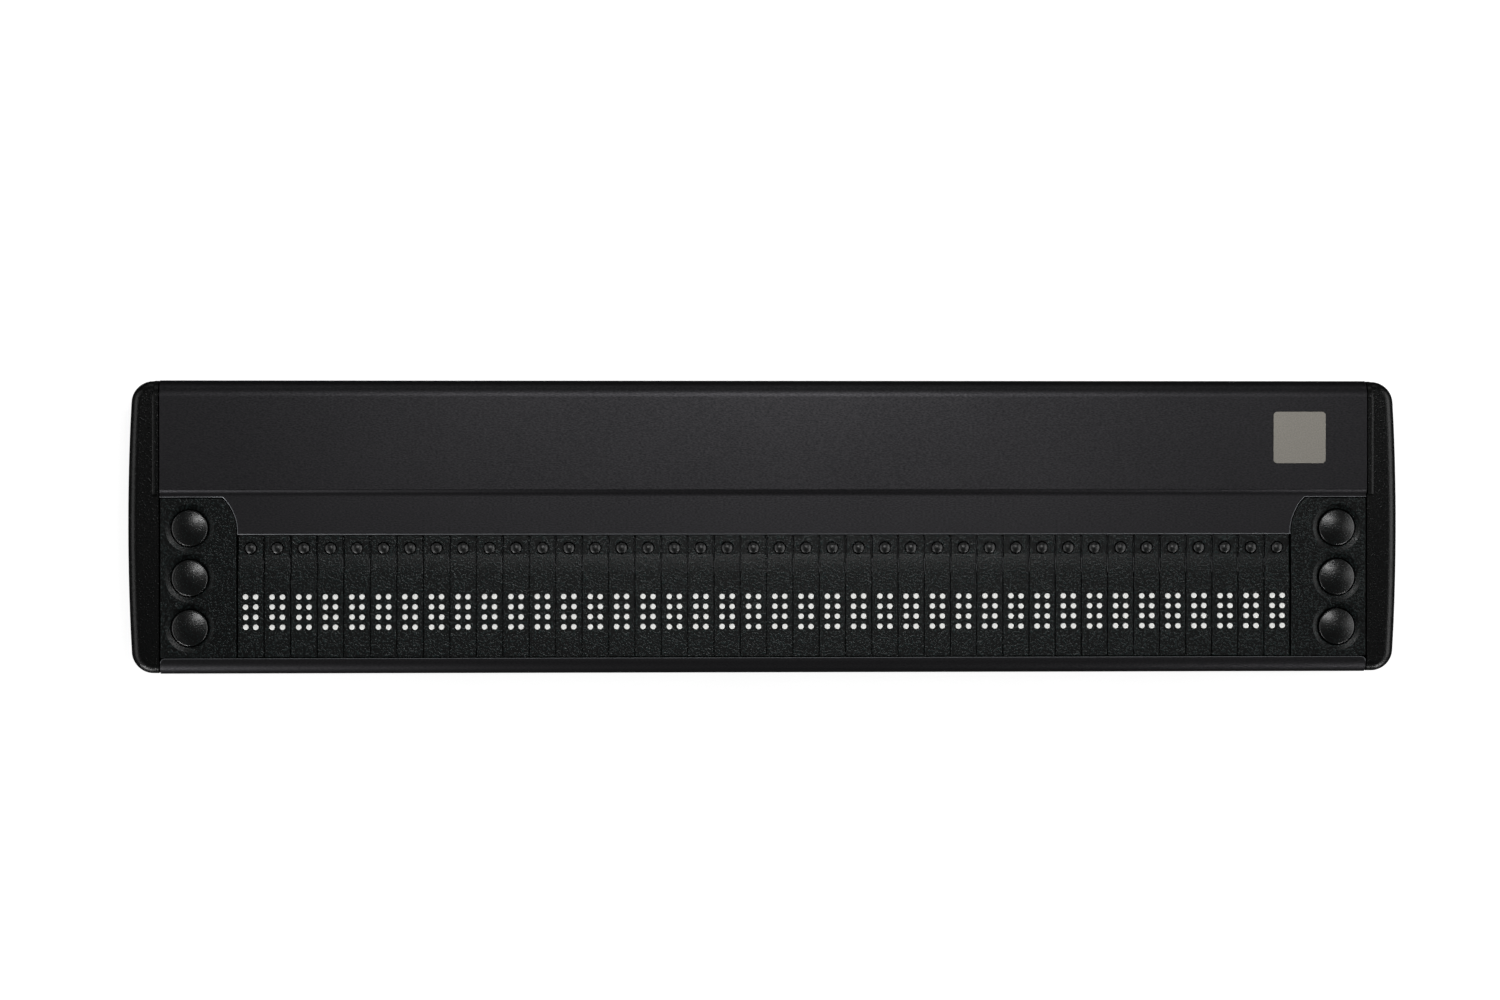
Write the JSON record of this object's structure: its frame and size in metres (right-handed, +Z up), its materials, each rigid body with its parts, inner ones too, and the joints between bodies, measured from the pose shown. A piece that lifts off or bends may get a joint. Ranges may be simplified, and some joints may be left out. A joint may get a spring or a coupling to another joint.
{
  "type": "refreshable braille display",
  "caption": "Slim braille display: a row of eight-dot cells with routing keys behind them, round keys at both ends, a dark extruded deck housing and black end caps.",
  "frame": {"origin": "centre of the bounding box's base, on the surface that the foot strips stand on", "axes": "+X to the reader's right along the cells, +Y away from the reader towards the rear edge, +Z up"},
  "size_m": [0.3098, 0.0712, 0.0173],
  "materials": {
    "anodised_housing": "dark anodised, fine matt grain",
    "end_cap_plastic": "black moulded plastic with a fine spark texture",
    "key_panel_plastic": "black moulded plastic with a fine spark texture",
    "cell_cap_plastic": "black moulded plastic, matt",
    "control_key_plastic": "black plastic, satin dome",
    "routing_key_plastic": "black plastic, satin",
    "dot_pin_plastic": "white plastic",
    "foot_rubber": "black rubber",
    "circuit_board": "green solder mask",
    "actuator_modules": "grey moulded plastic"
  },
  "bodies": {
    "chassis": {"deck_housing": "anodised_housing", "left_end_cap": "end_cap_plastic", "right_end_cap": "end_cap_plastic", "left_key_panel": "key_panel_plastic", "right_key_panel": "key_panel_plastic", "cell_cap_bank": "cell_cap_plastic", "actuator_block": "actuator_modules", "circuit_board": "circuit_board", "front_foot_strip": "foot_rubber", "rear_foot_strip": "foot_rubber"},
    "left_rear_key": {"left_rear_key": "control_key_plastic"},
    "left_middle_key": {"left_middle_key": "control_key_plastic"},
    "left_front_key": {"left_front_key": "control_key_plastic"},
    "right_rear_key": {"right_rear_key": "control_key_plastic"},
    "right_middle_key": {"right_middle_key": "control_key_plastic"},
    "right_front_key": {"right_front_key": "control_key_plastic"},
    "dot_row_1": {"dot_row_1": "dot_pin_plastic"},
    "dot_row_2": {"dot_row_2": "dot_pin_plastic"},
    "dot_row_3": {"dot_row_3": "dot_pin_plastic"},
    "dot_row_4": {"dot_row_4": "dot_pin_plastic"},
    "routing_key_01": {"routing_key_01": "routing_key_plastic"},
    "routing_key_02": {"routing_key_02": "routing_key_plastic"},
    "routing_key_03": {"routing_key_03": "routing_key_plastic"},
    "routing_key_04": {"routing_key_04": "routing_key_plastic"},
    "routing_key_05": {"routing_key_05": "routing_key_plastic"},
    "routing_key_06": {"routing_key_06": "routing_key_plastic"},
    "routing_key_07": {"routing_key_07": "routing_key_plastic"},
    "routing_key_08": {"routing_key_08": "routing_key_plastic"},
    "routing_key_09": {"routing_key_09": "routing_key_plastic"},
    "routing_key_10": {"routing_key_10": "routing_key_plastic"},
    "routing_key_11": {"routing_key_11": "routing_key_plastic"},
    "routing_key_12": {"routing_key_12": "routing_key_plastic"},
    "routing_key_13": {"routing_key_13": "routing_key_plastic"},
    "routing_key_14": {"routing_key_14": "routing_key_plastic"},
    "routing_key_15": {"routing_key_15": "routing_key_plastic"},
    "routing_key_16": {"routing_key_16": "routing_key_plastic"},
    "routing_key_17": {"routing_key_17": "routing_key_plastic"},
    "routing_key_18": {"routing_key_18": "routing_key_plastic"},
    "routing_key_19": {"routing_key_19": "routing_key_plastic"},
    "routing_key_20": {"routing_key_20": "routing_key_plastic"},
    "routing_key_21": {"routing_key_21": "routing_key_plastic"},
    "routing_key_22": {"routing_key_22": "routing_key_plastic"},
    "routing_key_23": {"routing_key_23": "routing_key_plastic"},
    "routing_key_24": {"routing_key_24": "routing_key_plastic"},
    "routing_key_25": {"routing_key_25": "routing_key_plastic"},
    "routing_key_26": {"routing_key_26": "routing_key_plastic"},
    "routing_key_27": {"routing_key_27": "routing_key_plastic"},
    "routing_key_28": {"routing_key_28": "routing_key_plastic"},
    "routing_key_29": {"routing_key_29": "routing_key_plastic"},
    "routing_key_30": {"routing_key_30": "routing_key_plastic"},
    "routing_key_31": {"routing_key_31": "routing_key_plastic"},
    "routing_key_32": {"routing_key_32": "routing_key_plastic"},
    "routing_key_33": {"routing_key_33": "routing_key_plastic"},
    "routing_key_34": {"routing_key_34": "routing_key_plastic"},
    "routing_key_35": {"routing_key_35": "routing_key_plastic"},
    "routing_key_36": {"routing_key_36": "routing_key_plastic"},
    "routing_key_37": {"routing_key_37": "routing_key_plastic"},
    "routing_key_38": {"routing_key_38": "routing_key_plastic"},
    "routing_key_39": {"routing_key_39": "routing_key_plastic"},
    "routing_key_40": {"routing_key_40": "routing_key_plastic"}
  },
  "joints": [
    {"name": "left_rear_key_press", "type": "slide", "parent": "chassis", "child": "left_rear_key", "axis": [0, 0, -1], "range_m": [0, 0.0008], "stiffness_N_per_m": 400, "springref_m": -0.0008},
    {"name": "left_middle_key_press", "type": "slide", "parent": "chassis", "child": "left_middle_key", "axis": [0, 0, -1], "range_m": [0, 0.0008], "stiffness_N_per_m": 400, "springref_m": -0.0008},
    {"name": "left_front_key_press", "type": "slide", "parent": "chassis", "child": "left_front_key", "axis": [0, 0, -1], "range_m": [0, 0.0008], "stiffness_N_per_m": 400, "springref_m": -0.0008},
    {"name": "right_rear_key_press", "type": "slide", "parent": "chassis", "child": "right_rear_key", "axis": [0, 0, -1], "range_m": [0, 0.0008], "stiffness_N_per_m": 400, "springref_m": -0.0008},
    {"name": "right_middle_key_press", "type": "slide", "parent": "chassis", "child": "right_middle_key", "axis": [0, 0, -1], "range_m": [0, 0.0008], "stiffness_N_per_m": 400, "springref_m": -0.0008},
    {"name": "right_front_key_press", "type": "slide", "parent": "chassis", "child": "right_front_key", "axis": [0, 0, -1], "range_m": [0, 0.0008], "stiffness_N_per_m": 400, "springref_m": -0.0008},
    {"name": "dot_row_1_drop", "type": "slide", "parent": "chassis", "child": "dot_row_1", "axis": [0, 0, -1], "range_m": [0, 0.0007], "stiffness_N_per_m": 200, "springref_m": -0.0005},
    {"name": "dot_row_2_drop", "type": "slide", "parent": "chassis", "child": "dot_row_2", "axis": [0, 0, -1], "range_m": [0, 0.0007], "stiffness_N_per_m": 200, "springref_m": -0.0005},
    {"name": "dot_row_3_drop", "type": "slide", "parent": "chassis", "child": "dot_row_3", "axis": [0, 0, -1], "range_m": [0, 0.0007], "stiffness_N_per_m": 200, "springref_m": -0.0005},
    {"name": "dot_row_4_drop", "type": "slide", "parent": "chassis", "child": "dot_row_4", "axis": [0, 0, -1], "range_m": [0, 0.0007], "stiffness_N_per_m": 200, "springref_m": -0.0005},
    {"name": "routing_key_01_press", "type": "slide", "parent": "chassis", "child": "routing_key_01", "axis": [0, 0, -1], "range_m": [0, 0.0005], "stiffness_N_per_m": 300, "springref_m": -0.0005},
    {"name": "routing_key_02_press", "type": "slide", "parent": "chassis", "child": "routing_key_02", "axis": [0, 0, -1], "range_m": [0, 0.0005], "stiffness_N_per_m": 300, "springref_m": -0.0005},
    {"name": "routing_key_03_press", "type": "slide", "parent": "chassis", "child": "routing_key_03", "axis": [0, 0, -1], "range_m": [0, 0.0005], "stiffness_N_per_m": 300, "springref_m": -0.0005},
    {"name": "routing_key_04_press", "type": "slide", "parent": "chassis", "child": "routing_key_04", "axis": [0, 0, -1], "range_m": [0, 0.0005], "stiffness_N_per_m": 300, "springref_m": -0.0005},
    {"name": "routing_key_05_press", "type": "slide", "parent": "chassis", "child": "routing_key_05", "axis": [0, 0, -1], "range_m": [0, 0.0005], "stiffness_N_per_m": 300, "springref_m": -0.0005},
    {"name": "routing_key_06_press", "type": "slide", "parent": "chassis", "child": "routing_key_06", "axis": [0, 0, -1], "range_m": [0, 0.0005], "stiffness_N_per_m": 300, "springref_m": -0.0005},
    {"name": "routing_key_07_press", "type": "slide", "parent": "chassis", "child": "routing_key_07", "axis": [0, 0, -1], "range_m": [0, 0.0005], "stiffness_N_per_m": 300, "springref_m": -0.0005},
    {"name": "routing_key_08_press", "type": "slide", "parent": "chassis", "child": "routing_key_08", "axis": [0, 0, -1], "range_m": [0, 0.0005], "stiffness_N_per_m": 300, "springref_m": -0.0005},
    {"name": "routing_key_09_press", "type": "slide", "parent": "chassis", "child": "routing_key_09", "axis": [0, 0, -1], "range_m": [0, 0.0005], "stiffness_N_per_m": 300, "springref_m": -0.0005},
    {"name": "routing_key_10_press", "type": "slide", "parent": "chassis", "child": "routing_key_10", "axis": [0, 0, -1], "range_m": [0, 0.0005], "stiffness_N_per_m": 300, "springref_m": -0.0005},
    {"name": "routing_key_11_press", "type": "slide", "parent": "chassis", "child": "routing_key_11", "axis": [0, 0, -1], "range_m": [0, 0.0005], "stiffness_N_per_m": 300, "springref_m": -0.0005},
    {"name": "routing_key_12_press", "type": "slide", "parent": "chassis", "child": "routing_key_12", "axis": [0, 0, -1], "range_m": [0, 0.0005], "stiffness_N_per_m": 300, "springref_m": -0.0005},
    {"name": "routing_key_13_press", "type": "slide", "parent": "chassis", "child": "routing_key_13", "axis": [0, 0, -1], "range_m": [0, 0.0005], "stiffness_N_per_m": 300, "springref_m": -0.0005},
    {"name": "routing_key_14_press", "type": "slide", "parent": "chassis", "child": "routing_key_14", "axis": [0, 0, -1], "range_m": [0, 0.0005], "stiffness_N_per_m": 300, "springref_m": -0.0005},
    {"name": "routing_key_15_press", "type": "slide", "parent": "chassis", "child": "routing_key_15", "axis": [0, 0, -1], "range_m": [0, 0.0005], "stiffness_N_per_m": 300, "springref_m": -0.0005},
    {"name": "routing_key_16_press", "type": "slide", "parent": "chassis", "child": "routing_key_16", "axis": [0, 0, -1], "range_m": [0, 0.0005], "stiffness_N_per_m": 300, "springref_m": -0.0005},
    {"name": "routing_key_17_press", "type": "slide", "parent": "chassis", "child": "routing_key_17", "axis": [0, 0, -1], "range_m": [0, 0.0005], "stiffness_N_per_m": 300, "springref_m": -0.0005},
    {"name": "routing_key_18_press", "type": "slide", "parent": "chassis", "child": "routing_key_18", "axis": [0, 0, -1], "range_m": [0, 0.0005], "stiffness_N_per_m": 300, "springref_m": -0.0005},
    {"name": "routing_key_19_press", "type": "slide", "parent": "chassis", "child": "routing_key_19", "axis": [0, 0, -1], "range_m": [0, 0.0005], "stiffness_N_per_m": 300, "springref_m": -0.0005},
    {"name": "routing_key_20_press", "type": "slide", "parent": "chassis", "child": "routing_key_20", "axis": [0, 0, -1], "range_m": [0, 0.0005], "stiffness_N_per_m": 300, "springref_m": -0.0005},
    {"name": "routing_key_21_press", "type": "slide", "parent": "chassis", "child": "routing_key_21", "axis": [0, 0, -1], "range_m": [0, 0.0005], "stiffness_N_per_m": 300, "springref_m": -0.0005},
    {"name": "routing_key_22_press", "type": "slide", "parent": "chassis", "child": "routing_key_22", "axis": [0, 0, -1], "range_m": [0, 0.0005], "stiffness_N_per_m": 300, "springref_m": -0.0005},
    {"name": "routing_key_23_press", "type": "slide", "parent": "chassis", "child": "routing_key_23", "axis": [0, 0, -1], "range_m": [0, 0.0005], "stiffness_N_per_m": 300, "springref_m": -0.0005},
    {"name": "routing_key_24_press", "type": "slide", "parent": "chassis", "child": "routing_key_24", "axis": [0, 0, -1], "range_m": [0, 0.0005], "stiffness_N_per_m": 300, "springref_m": -0.0005},
    {"name": "routing_key_25_press", "type": "slide", "parent": "chassis", "child": "routing_key_25", "axis": [0, 0, -1], "range_m": [0, 0.0005], "stiffness_N_per_m": 300, "springref_m": -0.0005},
    {"name": "routing_key_26_press", "type": "slide", "parent": "chassis", "child": "routing_key_26", "axis": [0, 0, -1], "range_m": [0, 0.0005], "stiffness_N_per_m": 300, "springref_m": -0.0005},
    {"name": "routing_key_27_press", "type": "slide", "parent": "chassis", "child": "routing_key_27", "axis": [0, 0, -1], "range_m": [0, 0.0005], "stiffness_N_per_m": 300, "springref_m": -0.0005},
    {"name": "routing_key_28_press", "type": "slide", "parent": "chassis", "child": "routing_key_28", "axis": [0, 0, -1], "range_m": [0, 0.0005], "stiffness_N_per_m": 300, "springref_m": -0.0005},
    {"name": "routing_key_29_press", "type": "slide", "parent": "chassis", "child": "routing_key_29", "axis": [0, 0, -1], "range_m": [0, 0.0005], "stiffness_N_per_m": 300, "springref_m": -0.0005},
    {"name": "routing_key_30_press", "type": "slide", "parent": "chassis", "child": "routing_key_30", "axis": [0, 0, -1], "range_m": [0, 0.0005], "stiffness_N_per_m": 300, "springref_m": -0.0005},
    {"name": "routing_key_31_press", "type": "slide", "parent": "chassis", "child": "routing_key_31", "axis": [0, 0, -1], "range_m": [0, 0.0005], "stiffness_N_per_m": 300, "springref_m": -0.0005},
    {"name": "routing_key_32_press", "type": "slide", "parent": "chassis", "child": "routing_key_32", "axis": [0, 0, -1], "range_m": [0, 0.0005], "stiffness_N_per_m": 300, "springref_m": -0.0005},
    {"name": "routing_key_33_press", "type": "slide", "parent": "chassis", "child": "routing_key_33", "axis": [0, 0, -1], "range_m": [0, 0.0005], "stiffness_N_per_m": 300, "springref_m": -0.0005},
    {"name": "routing_key_34_press", "type": "slide", "parent": "chassis", "child": "routing_key_34", "axis": [0, 0, -1], "range_m": [0, 0.0005], "stiffness_N_per_m": 300, "springref_m": -0.0005},
    {"name": "routing_key_35_press", "type": "slide", "parent": "chassis", "child": "routing_key_35", "axis": [0, 0, -1], "range_m": [0, 0.0005], "stiffness_N_per_m": 300, "springref_m": -0.0005},
    {"name": "routing_key_36_press", "type": "slide", "parent": "chassis", "child": "routing_key_36", "axis": [0, 0, -1], "range_m": [0, 0.0005], "stiffness_N_per_m": 300, "springref_m": -0.0005},
    {"name": "routing_key_37_press", "type": "slide", "parent": "chassis", "child": "routing_key_37", "axis": [0, 0, -1], "range_m": [0, 0.0005], "stiffness_N_per_m": 300, "springref_m": -0.0005},
    {"name": "routing_key_38_press", "type": "slide", "parent": "chassis", "child": "routing_key_38", "axis": [0, 0, -1], "range_m": [0, 0.0005], "stiffness_N_per_m": 300, "springref_m": -0.0005},
    {"name": "routing_key_39_press", "type": "slide", "parent": "chassis", "child": "routing_key_39", "axis": [0, 0, -1], "range_m": [0, 0.0005], "stiffness_N_per_m": 300, "springref_m": -0.0005},
    {"name": "routing_key_40_press", "type": "slide", "parent": "chassis", "child": "routing_key_40", "axis": [0, 0, -1], "range_m": [0, 0.0005], "stiffness_N_per_m": 300, "springref_m": -0.0005}
  ]
}
